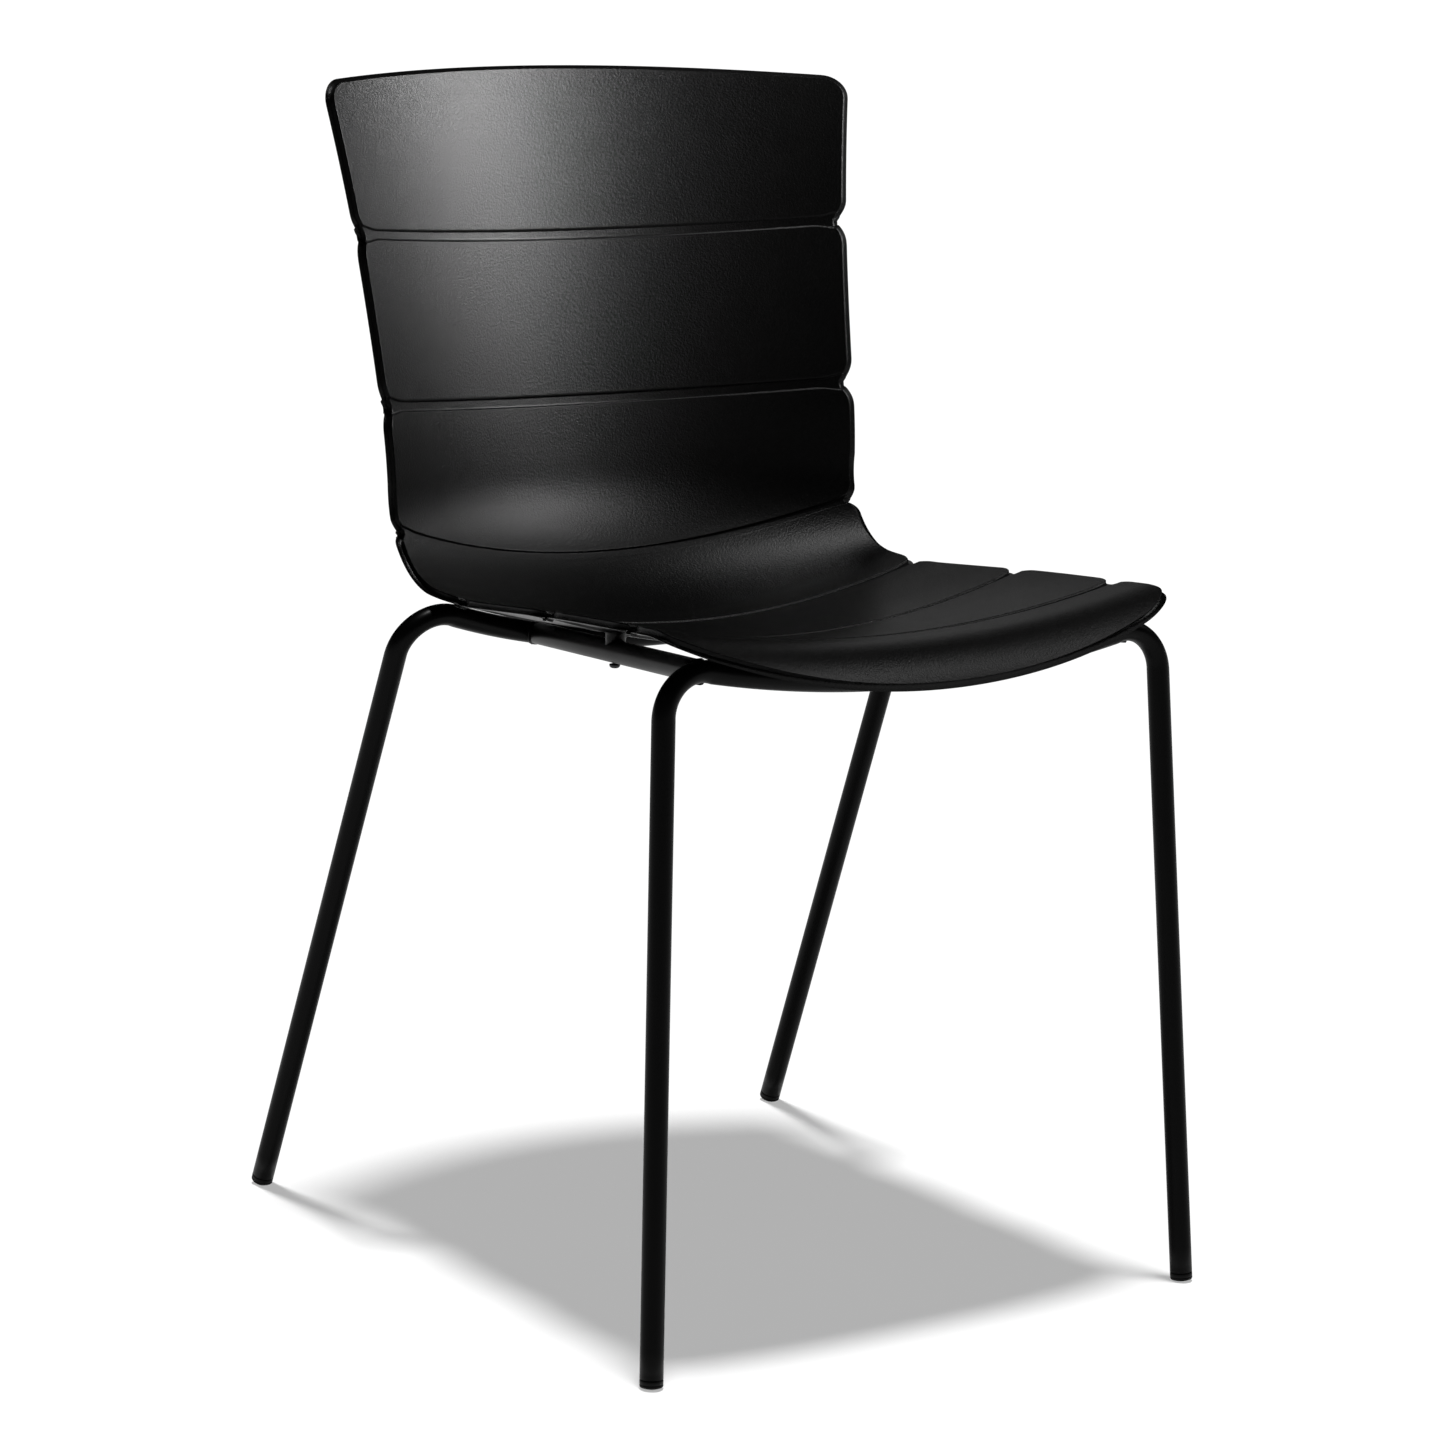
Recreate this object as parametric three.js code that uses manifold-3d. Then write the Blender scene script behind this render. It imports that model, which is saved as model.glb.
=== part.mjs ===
// A stacking chair: a one-piece moulded shell on a bent and welded tube frame.
// Millimetres, +Z up, front towards -Y, origin on the floor midway between the feet.
import * as THREE from "three";
import { mergeVertices } from "three/addons/utils/BufferGeometryUtils.js";
import Module from "manifold-3d";

const wasm = await Module();
wasm.setup();

// Driving dimensions ---------------------------------------------------------

const clearance = 0.3; // between pieces that touch

const tubeRadius = 8;
const tubeWall = 1.5;
const bendRadius = 31; // centre line of the leg bends
const waistHalfWidth = 202; // the shell's, where it is narrowest
const frameHeight = 480.6; // where the centre lines of a front leg and its crossbar would meet
const frontFrame = {
  cornerHalfSpan: waistHalfWidth + 7, // half the distance between those meeting places
  cornerY: -212.4,
  leanIn: 0.0441, // sideways travel per unit of height
  leanBack: 0.0928,
  crossbarHeight: frameHeight,
  crossbarSag: 20,
};
const rearFrame = {
  cornerHalfSpan: waistHalfWidth + 22,
  cornerY: 82.01,
  leanIn: 0.0218,
  leanBack: -0.3718,
  crossbarHeight: frameHeight - 8.6,
  crossbarSag: 38,
};
const railFrontHalfSpan = waistHalfWidth - 21; // the side rails draw together towards the rear
const railRearHalfSpan = waistHalfWidth - 91;

const glideDomeRadius = 18;
const glideSoleDepth = 0.4; // depth of the flat that stands on the floor, cut across the dome
const glideCollar = 5;
const glideStem = 16;

const screwShankRadius = 1.9;
const screwHeadRadius = 3.8;
const screwHeadHeight = 2.6;
const insertWall = 1.2;
const insertLength = 2.8;
const bossRadius = 7;
const bossSkin = 1.2; // plastic left over the end of the insert
const screwDrop = 0.8; // room between a sloping tube and the flat of the screw head
const frontScrewY = -63; // on each side rail
const rearScrewHalfSpan = 60; // on the rear crossbar

const backLean = THREE.MathUtils.degToRad(11.6);
const seatTilt = THREE.MathUtils.degToRad(6);
const seatBack = { y: 83.69, z: frameHeight + tubeRadius - 41.12 }; // start of the seat's straight part
const backLength = 302; // straight part of the back
const shellBend = 108; // radius between back and seat
const seatLength = 284; // straight part of the seat
const lipRadius = 55;
const lipTurn = THREE.MathUtils.degToRad(60);
const grooveStations = [-177, -54, 66, 192, 309, 415].map((below) => backLength + below);
const grooveWidth = 6;
const grooveRamp = 1;
const grooveDepth = 1.6;
const notchDepth = 5.8; // how far the outline steps in at each groove
const notchLength = 15;
const waistStation = backLength + 98;
const topFlare = 26;
const frontFlare = 12;
const topDish = 58; // how far the side edges stand in front of the middle, at the top edge
const backDish = 65; // the same at the small of the back
const seatDish = 26; // how far they stand above it along the seat
const frontDish = 22; // the same at the front edge
const seatHollow = 8; // how much deeper the middle of the seat is than a straight line
const hollowStart = backLength + 108;
const hollowEnd = backLength + 433;
const topCornerRadius = 16;
const frontCornerRadius = 34;
const topArch = 18;
const frontBow = 38;
const skin = 3.6;
const rim = 5.5;
const rimWidth = 4;
const rimBlend = 2;

// Materials ------------------------------------------------------------------

const shellPlastic = new THREE.MeshStandardMaterial({ color: 0x17181a, roughness: 0.5, metalness: 0 });
const powderCoat = new THREE.MeshStandardMaterial({ color: 0x121314, roughness: 0.42, metalness: 0.1 });
const glidePlastic = new THREE.MeshStandardMaterial({ color: 0x101011, roughness: 0.6, metalness: 0 });
const blackSteel = new THREE.MeshStandardMaterial({ color: 0x1c1c1d, roughness: 0.35, metalness: 0.9 });
const brass = new THREE.MeshStandardMaterial({ color: 0xb08d45, roughness: 0.35, metalness: 1 });

// Solids ---------------------------------------------------------------------

function toSolid(geometry) {
  const bare = geometry.clone();
  bare.deleteAttribute("normal");
  bare.deleteAttribute("uv");
  const merged = mergeVertices(bare, 1e-4);
  return new wasm.Manifold(
    new wasm.Mesh({
      numProp: 3,
      vertProperties: merged.attributes.position.array,
      triVerts: new Uint32Array(merged.index.array),
    }),
  );
}

function toGeometry(solid) {
  const mesh = solid.getMesh();
  const geometry = new THREE.BufferGeometry();
  geometry.setAttribute("position", new THREE.BufferAttribute(mesh.vertProperties, 3));
  geometry.setIndex(new THREE.BufferAttribute(mesh.triVerts, 1));
  geometry.computeVertexNormals();
  return geometry;
}

function makePiece(name, geometry, material) {
  const piece = new THREE.Mesh(geometry, material);
  piece.name = name;
  return piece;
}

// A lathe turned about its own Z axis from radius and height pairs.
function turned(profile, sides) {
  const geometry = new THREE.LatheGeometry(profile.map(([r, z]) => new THREE.Vector2(r, z)), sides);
  return geometry.rotateX(Math.PI / 2);
}

// Moves a geometry that points along +Z so that it points along a direction from a place.
function aimed(geometry, place, direction) {
  const turn = new THREE.Quaternion().setFromUnitVectors(new THREE.Vector3(0, 0, 1), direction);
  return geometry.applyQuaternion(turn).translate(place.x, place.y, place.z);
}

// Tube frame -----------------------------------------------------------------

// A path through chosen stations, so that bends get short steps and straights long ones.
class StationPath extends THREE.Curve {
  constructor(stations) {
    super();
    this.stations = stations;
  }
  getPoint(t, target = new THREE.Vector3()) {
    const place = THREE.MathUtils.clamp(t, 0, 1) * (this.stations.length - 1);
    const index = Math.min(Math.floor(place), this.stations.length - 2);
    return target.lerpVectors(this.stations[index], this.stations[index + 1], place - index);
  }
  getUtoTmapping(u) {
    return u;
  }
}

function tube(stations, outerRadius, innerRadius) {
  const section = new THREE.Shape().absarc(0, 0, outerRadius, 0, 2 * Math.PI);
  if (innerRadius) section.holes.push(new THREE.Path().absarc(0, 0, innerRadius, 0, 2 * Math.PI, true));
  return new THREE.ExtrudeGeometry(section, {
    steps: stations.length - 1,
    curveSegments: 7,
    extrudePath: new StationPath(stations),
  });
}

// The centre line of one U-shaped leg frame, from the left foot over the crossbar to the right.
// Both legs, their bends and the sagging crossbar lie in one leaning plane.
function frameStations(frame) {
  const slant = Math.hypot(1, frame.leanBack); // length up the plane per unit of height
  const footY = frame.cornerY - frame.leanBack * frame.crossbarHeight;
  const inPlane = (x, rise) => new THREE.Vector3(x, footY + (frame.leanBack * rise) / slant, rise / slant);
  const cornerRise = frame.crossbarHeight * slant;
  const cornerX = frame.cornerHalfSpan;
  const footX = cornerX + frame.leanIn * frame.crossbarHeight;
  const legAngle = Math.atan2(slant, frame.leanIn); // from horizontal, leaning inwards
  const barAngle = Math.atan((2 * frame.crossbarSag) / cornerX);
  const turn = Math.PI - legAngle + barAngle;
  const setback = bendRadius * Math.tan(turn / 2);
  const bendStart = {
    x: cornerX + setback * Math.cos(legAngle),
    rise: cornerRise - setback * Math.sin(legAngle),
  };
  const centre = {
    x: bendStart.x - bendRadius * Math.sin(legAngle),
    rise: bendStart.rise - bendRadius * Math.cos(legAngle),
  };
  const footHeight = glideDomeRadius - glideSoleDepth;
  const rightHalf = [inPlane(footX - frame.leanIn * footHeight, footHeight * slant)];
  const bendSteps = 8;
  let bendEnd;
  for (let i = 0; i <= bendSteps; i++) {
    const angle = Math.PI / 2 - legAngle + (turn * i) / bendSteps;
    bendEnd = {
      x: centre.x + bendRadius * Math.cos(angle),
      rise: centre.rise + bendRadius * Math.sin(angle),
    };
    rightHalf.push(inPlane(bendEnd.x, bendEnd.rise));
  }
  const sag = (Math.tan(barAngle) * bendEnd.x) / 2;
  const barSteps = 7;
  for (let i = 1; i <= barSteps; i++) {
    const x = bendEnd.x * (1 - i / barSteps);
    rightHalf.push(inPlane(x, bendEnd.rise - sag * (1 - (x / bendEnd.x) ** 2)));
  }
  const leftHalf = rightHalf.slice(0, -1).map((p) => new THREE.Vector3(-p.x, p.y, p.z));
  return leftHalf.concat(rightHalf.reverse());
}

// Where a frame's centre line passes a sideways position on its crossbar.
function crossbarPoint(stations, x) {
  const bar = stations.filter((p) => p.z > frontFrame.crossbarHeight / 2);
  const next = bar.findIndex((p) => p.x > x);
  const part = (x - bar[next - 1].x) / (bar[next].x - bar[next - 1].x);
  return new THREE.Vector3().lerpVectors(bar[next - 1], bar[next], part);
}

// The tube starts above the glide collar, along the leg, and has a hole for each seat screw.
function legFrame(stations, screwPlaces) {
  const trimmed = stations.map((p) => p.clone());
  const shift = glideCollar - glideShoulder() + clearance;
  for (const [end, next] of [[0, 1], [trimmed.length - 1, trimmed.length - 2]]) {
    const up = trimmed[next].clone().sub(trimmed[end]).normalize();
    trimmed[end].addScaledVector(up, shift);
  }
  const whole = tube(trimmed, tubeRadius, tubeRadius - tubeWall);
  if (!screwPlaces.length) return whole;
  return toGeometry(screwPlaces.reduce((solid, place) => solid.subtract(screwHole(place)), toSolid(whole)));
}

// A glide is drawn along its leg from the centre of its domed sole, which is one radius below.
function glideShoulder() {
  return Math.sqrt(glideDomeRadius ** 2 - tubeRadius ** 2);
}

function glide(stations, end, next) {
  const up = stations[next].clone().sub(stations[end]).normalize();
  const rimAngle = Math.asin(tubeRadius / glideDomeRadius);
  const domeSteps = 4;
  const profile = [];
  for (let i = 0; i <= domeSteps; i++) {
    const angle = (rimAngle * i) / domeSteps;
    profile.push([glideDomeRadius * Math.sin(angle), -glideDomeRadius * Math.cos(angle)]);
  }
  const collarTop = glideCollar - glideShoulder();
  const stemRadius = tubeRadius - tubeWall - clearance;
  profile.push([tubeRadius, collarTop], [stemRadius, collarTop]);
  profile.push([stemRadius, collarTop + glideStem], [0, collarTop + glideStem]);
  const floorSize = 6 * tubeRadius;
  const floor = new THREE.BoxGeometry(floorSize, floorSize, floorSize);
  floor.translate(stations[end].x, stations[end].y, -floorSize / 2);
  const body = toSolid(aimed(turned(profile, 20), stations[end], up));
  return toGeometry(body.subtract(toSolid(floor)));
}

// Side rail: a straight tube coped to both crossbars, with a hole for a seat screw.
function railEnds(side, front, rear) {
  return [crossbarPoint(front, side * railFrontHalfSpan), crossbarPoint(rear, side * railRearHalfSpan)];
}

function railPlace(ends, y) {
  const part = (y - ends[0].y) / (ends[1].y - ends[0].y);
  return new THREE.Vector3().lerpVectors(ends[0], ends[1], part);
}

function sideRail(ends, front, rear) {
  let solid = toSolid(tube(ends, tubeRadius, tubeRadius - tubeWall));
  for (const stations of [front, rear]) {
    solid = solid.subtract(toSolid(tube(stations, tubeRadius + clearance, 0)));
  }
  solid = solid.subtract(screwHole(railPlace(ends, frontScrewY)));
  const largest = solid.decompose().sort((a, b) => b.volume() - a.volume())[0];
  return toGeometry(largest);
}

// A screw place is where the screw's upright axis crosses the centre line of a tube.
function screwHole(place) {
  const reach = 2 * tubeRadius;
  const radius = screwShankRadius + clearance;
  const hole = new THREE.CylinderGeometry(radius, radius, 2 * reach, 12).rotateX(Math.PI / 2);
  return toSolid(hole.translate(place.x, place.y, place.z));
}

// Moulded shell --------------------------------------------------------------

const bendLength = shellBend * (Math.PI / 2 - backLean + seatTilt);
const lipStart = backLength + bendLength + seatLength;
const shellLength = lipStart + lipRadius * lipTurn;
const shellTop = {
  y: seatBack.y + backLength * Math.sin(backLean) + shellBend * (Math.sin(seatTilt) + Math.cos(backLean)),
  z: seatBack.z + backLength * Math.cos(backLean) + shellBend * (Math.cos(seatTilt) - Math.sin(backLean)),
};

// The middle line of the upper face: a place, the way it runs and the way it faces.
function profileAt(station) {
  const runs = [
    [backLength, 0],
    [bendLength, 1 / shellBend],
    [seatLength, 0],
    [Infinity, -1 / lipRadius],
  ];
  let heading = backLean - Math.PI / 2;
  let y = shellTop.y;
  let z = shellTop.z;
  let left = station;
  for (const [length, curvature] of runs) {
    const step = Math.min(left, length);
    const after = heading + curvature * step;
    y -= curvature ? (Math.sin(after) - Math.sin(heading)) / curvature : step * Math.cos(heading);
    z += curvature ? (Math.cos(heading) - Math.cos(after)) / curvature : step * Math.sin(heading);
    heading = after;
    left -= step;
    if (left <= 0) break;
  }
  return { y, z, up: [Math.sin(heading), Math.cos(heading)] };
}

function baseHalfWidth(station) {
  const above = Math.max(0, 1 - station / waistStation);
  const below = Math.max(0, (station - waistStation) / (shellLength - waistStation));
  return waistHalfWidth + topFlare * above ** 2.25 + frontFlare * below ** 1.4;
}

function dishAt(station) {
  const deepest = grooveStations[1] + notchLength;
  const flattest = grooveStations[3] + 2 * notchLength;
  const back = THREE.MathUtils.lerp(topDish, backDish, Math.min(station / deepest, 1));
  const seat = THREE.MathUtils.lerp(back, seatDish, THREE.MathUtils.smoothstep(station, deepest, flattest));
  const frontPart = THREE.MathUtils.smoothstep(station, grooveStations[4], shellLength);
  return seat + (frontDish - seatDish) * frontPart;
}

// How far the middle of the seat lies below its straight line.
function hollowAt(station) {
  const part = THREE.MathUtils.clamp((station - hollowStart) / (hollowEnd - hollowStart), 0, 1);
  return seatHollow * Math.sin(Math.PI * part) ** 2;
}

// How far the outline steps in at a distance into a rounded corner of some depth and length.
function cornerInset(distance, depth, length) {
  const part = THREE.MathUtils.clamp(1 - distance / length, 0, 1);
  return depth * (1 - Math.sqrt(1 - part ** 2));
}

function outlineInset(station) {
  let inset = cornerInset(station, topCornerRadius, topCornerRadius);
  inset += cornerInset(shellLength - station, frontCornerRadius, frontCornerRadius);
  for (const groove of grooveStations) {
    const distance = Math.abs(station - groove) - grooveWidth / 2;
    const part = THREE.MathUtils.clamp(1 - distance / notchLength, 0, 1);
    inset += notchDepth * part ** 2;
  }
  return inset;
}

function recessAt(station) {
  const nearest = Math.min(...grooveStations.map((groove) => Math.abs(station - groove)));
  const half = grooveWidth / 2;
  return grooveDepth * THREE.MathUtils.clamp((half + grooveRamp - nearest) / grooveRamp, 0, 1);
}

// The stations along the shell: the groove edges, close steps round each corner, even steps between.
function shellRows() {
  const reach = grooveWidth / 2 + grooveRamp;
  const starts = [0, ...grooveStations.map((groove) => groove + reach)];
  const stops = [...grooveStations.map((groove) => groove - reach), shellLength];
  const corner = [0, 0.2, 0.5, 1];
  const rows = [];
  starts.forEach((start, i) => {
    const first = i === 0 ? topCornerRadius : notchLength;
    const last = i === stops.length - 1 ? frontCornerRadius : notchLength;
    const opening = i === 0 ? [0, 0.1, 0.3, 0.6, 1] : corner;
    const closing = i === stops.length - 1 ? [0, 0.03, 0.1, 0.2, 0.4, 0.7, 1] : corner;
    rows.push(...opening.map((part) => start + part * first));
    const between = stops[i] - last - (start + first);
    const count = Math.max(1, Math.round(between / 24));
    for (let k = 1; k < count; k++) rows.push(start + first + (between * k) / count);
    rows.push(...closing.toReversed().map((part) => stops[i] - part * last));
    if (i < grooveStations.length) {
      rows.push(grooveStations[i] - grooveWidth / 2, grooveStations[i] + grooveWidth / 2);
    }
  });
  return rows;
}

function shellColumns(halfWidth) {
  const inner = halfWidth - rimWidth - rimBlend;
  const steps = 12;
  const columns = [-halfWidth, -halfWidth + rimWidth];
  for (let j = 0; j <= steps; j++) columns.push(inner * ((2 * j) / steps - 1));
  columns.push(halfWidth - rimWidth, halfWidth);
  return columns;
}

// One place on the shell: the upper face and the lower face under it.
function shellPoint(row, x, halfWidth) {
  const full = baseHalfWidth(row);
  const across = (x / full) ** 2;
  const topShare = Math.max(0, 1 - row / grooveStations[0]);
  const lastGroove = grooveStations[grooveStations.length - 1];
  const frontShare = Math.max(0, (row - lastGroove) / (shellLength - lastGroove));
  const station = row + across * (topArch * topShare - frontBow * frontShare ** 2);
  const { y, z, up } = profileAt(station);
  const hollow = hollowAt(station);
  const dish = dishAt(station) + hollow;
  const slope = (2 * dish * x) / full ** 2;
  const normal = new THREE.Vector3(-slope, up[0], up[1]).normalize();
  const lift = dish * across - hollow;
  const upper = new THREE.Vector3(x, y + up[0] * lift, z + up[1] * lift);
  upper.addScaledVector(normal, -recessAt(row));
  const fromEdge = Math.min(halfWidth - Math.abs(x), row, shellLength - row);
  const blend = THREE.MathUtils.clamp((rimWidth + rimBlend - fromEdge) / rimBlend, 0, 1);
  const lower = upper.clone().addScaledVector(normal, -THREE.MathUtils.lerp(skin, rim, blend));
  return [upper, lower];
}

// A closed slab from a grid of upper and lower points.
function slab(grid) {
  const rows = grid.length;
  const columns = grid[0].length;
  const positions = grid.flat(2).flatMap((p) => [p.x, p.y, p.z]);
  const at = (i, j, face) => (i * columns + j) * 2 + face;
  const triangles = [];
  const quad = (a, b, c, d) => triangles.push(a, b, c, a, c, d);
  for (let i = 0; i < rows - 1; i++) {
    for (let j = 0; j < columns - 1; j++) {
      quad(at(i, j, 0), at(i + 1, j, 0), at(i + 1, j + 1, 0), at(i, j + 1, 0));
      quad(at(i, j, 1), at(i, j + 1, 1), at(i + 1, j + 1, 1), at(i + 1, j, 1));
    }
    quad(at(i, 0, 0), at(i, 0, 1), at(i + 1, 0, 1), at(i + 1, 0, 0));
    quad(at(i, columns - 1, 0), at(i + 1, columns - 1, 0), at(i + 1, columns - 1, 1), at(i, columns - 1, 1));
  }
  for (let j = 0; j < columns - 1; j++) {
    quad(at(0, j, 0), at(0, j + 1, 0), at(0, j + 1, 1), at(0, j, 1));
    quad(at(rows - 1, j, 0), at(rows - 1, j, 1), at(rows - 1, j + 1, 1), at(rows - 1, j + 1, 0));
  }
  const geometry = new THREE.BufferGeometry();
  geometry.setAttribute("position", new THREE.Float32BufferAttribute(positions, 3));
  geometry.setIndex(triangles);
  return geometry;
}

// The height of the shell's upper face over a place on the seat.
function seatHeight(x, y) {
  let near = backLength + bendLength / 2;
  let far = lipStart;
  for (let i = 0; i < 40; i++) {
    const middle = (near + far) / 2;
    if (shellPoint(middle, x, baseHalfWidth(middle))[0].y > y) near = middle;
    else far = middle;
  }
  return shellPoint(near, x, baseHalfWidth(near))[0].z;
}

function insertTop(x, y) {
  return seatHeight(x, y) - bossSkin;
}

function seatShell(fixings) {
  const grid = shellRows().map((row) => {
    const halfWidth = baseHalfWidth(row) - outlineInset(row);
    return shellColumns(halfWidth).map((x) => shellPoint(row, x, halfWidth));
  });
  let solid = toSolid(slab(grid));
  for (const { place, stations } of fixings) {
    const { x, y, z: bottom } = place;
    const saddle = toSolid(tube(stations, tubeRadius + clearance, 0));
    const top = seatHeight(x, y) - skin / 2;
    const boss = new THREE.CylinderGeometry(bossRadius, bossRadius, top - bottom, 16).rotateX(Math.PI / 2);
    solid = solid.add(toSolid(boss.translate(x, y, (top + bottom) / 2)).subtract(saddle));
    const pocketRadius = screwShankRadius + 2 * clearance + insertWall;
    const pocketTop = insertTop(x, y);
    const pocket = new THREE.CylinderGeometry(pocketRadius, pocketRadius, pocketTop - bottom, 16);
    pocket.rotateX(Math.PI / 2).translate(x, y, (pocketTop + bottom) / 2);
    solid = solid.subtract(toSolid(pocket));
  }
  return toGeometry(solid);
}

// Fasteners ------------------------------------------------------------------

function threadedInsert(x, y) {
  const inner = screwShankRadius + clearance;
  const outer = inner + insertWall;
  const top = insertTop(x, y) - clearance;
  const profile = [
    [inner, -insertLength],
    [outer, -insertLength],
    [outer, 0],
    [inner, 0],
    [inner, -insertLength],
  ];
  return turned(profile, 16).translate(x, y, top);
}

function seatScrew(place) {
  const { x, y, z } = place;
  const headTop = z - tubeRadius - screwDrop;
  const shankTop = insertTop(x, y) - 2 * clearance - headTop;
  const profile = [
    [0, -screwHeadHeight],
    [screwHeadRadius * 0.55, -screwHeadHeight],
    [screwHeadRadius * 0.88, -screwHeadHeight * 0.62],
    [screwHeadRadius, -screwHeadHeight * 0.2],
    [screwHeadRadius, 0],
    [screwShankRadius, 0],
    [screwShankRadius, shankTop],
    [0, shankTop],
  ];
  return turned(profile, 16).translate(x, y, headTop);
}

// Assembly -------------------------------------------------------------------

const chair = new THREE.Group();
const frontStations = frameStations(frontFrame);
const rearStations = frameStations(rearFrame);
const sides = [["left", -1], ["right", 1]].map(([name, side]) => {
  const ends = railEnds(side, frontStations, rearStations);
  const fixings = {
    front: { place: railPlace(ends, frontScrewY), stations: ends },
    rear: { place: crossbarPoint(rearStations, side * rearScrewHalfSpan), stations: rearStations },
  };
  return { name, ends, fixings };
});

const rearPlaces = sides.map(({ fixings }) => fixings.rear.place);
chair.add(makePiece("front_leg_frame", legFrame(frontStations, []), powderCoat));
chair.add(makePiece("rear_leg_frame", legFrame(rearStations, rearPlaces), powderCoat));
const allFixings = sides.flatMap(({ fixings }) => Object.values(fixings));
chair.add(makePiece("seat_shell", seatShell(allFixings), shellPlastic));

for (const { name, ends, fixings } of sides) {
  chair.add(makePiece(`${name}_side_rail`, sideRail(ends, frontStations, rearStations), powderCoat));
  for (const [endName, { place }] of Object.entries(fixings)) {
    chair.add(makePiece(`${endName}_${name}_screw`, seatScrew(place), blackSteel));
    chair.add(makePiece(`${endName}_${name}_insert`, threadedInsert(place.x, place.y), brass));
  }
  for (const [endName, stations] of [["front", frontStations], ["rear", rearStations]]) {
    const end = name === "left" ? 0 : stations.length - 1;
    const next = name === "left" ? 1 : stations.length - 2;
    chair.add(makePiece(`${endName}_${name}_glide`, glide(stations, end, next), glidePlastic));
  }
}

export default chair;
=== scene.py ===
import math

import bmesh
import bpy
from mathutils import Matrix, Vector


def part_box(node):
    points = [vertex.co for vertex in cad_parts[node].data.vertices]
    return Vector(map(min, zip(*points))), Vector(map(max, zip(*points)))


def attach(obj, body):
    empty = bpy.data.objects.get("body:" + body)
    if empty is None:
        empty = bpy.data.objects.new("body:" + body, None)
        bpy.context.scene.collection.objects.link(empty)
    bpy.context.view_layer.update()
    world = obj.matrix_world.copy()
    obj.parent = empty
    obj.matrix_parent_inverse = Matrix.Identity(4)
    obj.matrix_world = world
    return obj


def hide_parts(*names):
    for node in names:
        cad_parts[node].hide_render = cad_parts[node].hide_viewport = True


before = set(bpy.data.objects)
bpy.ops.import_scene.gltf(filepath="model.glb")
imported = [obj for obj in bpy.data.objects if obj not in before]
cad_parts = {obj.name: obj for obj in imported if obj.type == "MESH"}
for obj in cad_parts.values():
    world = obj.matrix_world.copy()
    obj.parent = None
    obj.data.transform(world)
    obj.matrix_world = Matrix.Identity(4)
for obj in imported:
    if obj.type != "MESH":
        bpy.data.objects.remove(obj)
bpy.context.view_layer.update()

# Camera ---------------------------------------------------------------------
# A long lens a little above the top of the chair, in front of its left side, turned slightly
# about its own axis.

lens_mm = 114.30
sensor_mm = 36.0
camera_place = Vector((-1.87859, -2.61944, 1.04563))
camera_yaw = math.radians(35.512)  # from the chair's front to back line, towards its right
camera_pitch = math.radians(11.663)  # downwards
camera_roll = math.radians(2.152)

camera_data = bpy.data.cameras.new("camera")
camera_data.lens = lens_mm
camera_data.sensor_width = sensor_mm
camera_data.clip_end = 200.0
camera = bpy.data.objects.new("camera", camera_data)
bpy.context.scene.collection.objects.link(camera)
aim = (
    Matrix.Rotation(-camera_yaw, 4, "Z")
    @ Matrix.Rotation(math.pi / 2 - camera_pitch, 4, "X")
    @ Matrix.Rotation(camera_roll, 4, "Z")
)
camera.matrix_world = Matrix.Translation(camera_place) @ aim
bpy.context.scene.camera = camera

# Leg frames -----------------------------------------------------------------
# Two round steel tubes, each bent into a U that gives two legs and a sagging crossbar. The
# bends are a little flattened where the tube was drawn round the former. Satin black powder
# coat over both.

tube_radius = 0.008
tube_wall = 0.0015
bend_radius = 0.031
bend_flattening = 0.09  # share of the radius lost in the plane of the bend
bend_widening = 0.35  # share of that flattening gained square to the plane
bend_onset = 0.7  # below one, the flattening comes in sooner along the bend
leg_steps = 24
bend_steps = 24
bar_steps = 30
glide_dome_radius = 0.018
glide_sole_depth = 0.0004
glide_collar = 0.005
fit_gap = 0.0003
tube_sides = 40

leg_frames = {
    "front_leg_frame": {
        "foot_half_span": 0.2302,
        "foot_y": -0.257,
        "lean_in": 0.0441,
        "lean_back": 0.0928,
        "bar_height": 0.4806,
        "bar_sag": 0.020,
    },
    "rear_leg_frame": {
        "foot_half_span": 0.2343,
        "foot_y": 0.2575,
        "lean_in": 0.0218,
        "lean_back": -0.3718,
        "bar_height": 0.472,
        "bar_sag": 0.038,
    },
}


class Flow:
    """A number that varies over a surface. Arithmetic on it adds the Math nodes."""

    def __init__(self, tree, socket):
        self.tree = tree
        self.socket = socket

    def maths(self, operation, first, second):
        made = self.tree.nodes.new("ShaderNodeMath")
        made.operation = operation
        for slot, value in zip(made.inputs, (first, second)):
            if isinstance(value, Flow):
                self.tree.links.new(value.socket, slot)
            else:
                slot.default_value = value
        return Flow(self.tree, made.outputs[0])

    def __add__(self, other):
        return self.maths("ADD", self, other)

    def __sub__(self, other):
        return self.maths("SUBTRACT", self, other)

    def __rsub__(self, other):
        return self.maths("SUBTRACT", other, self)

    def __mul__(self, other):
        return self.maths("MULTIPLY", self, other)

    __radd__ = __add__
    __rmul__ = __mul__


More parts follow.
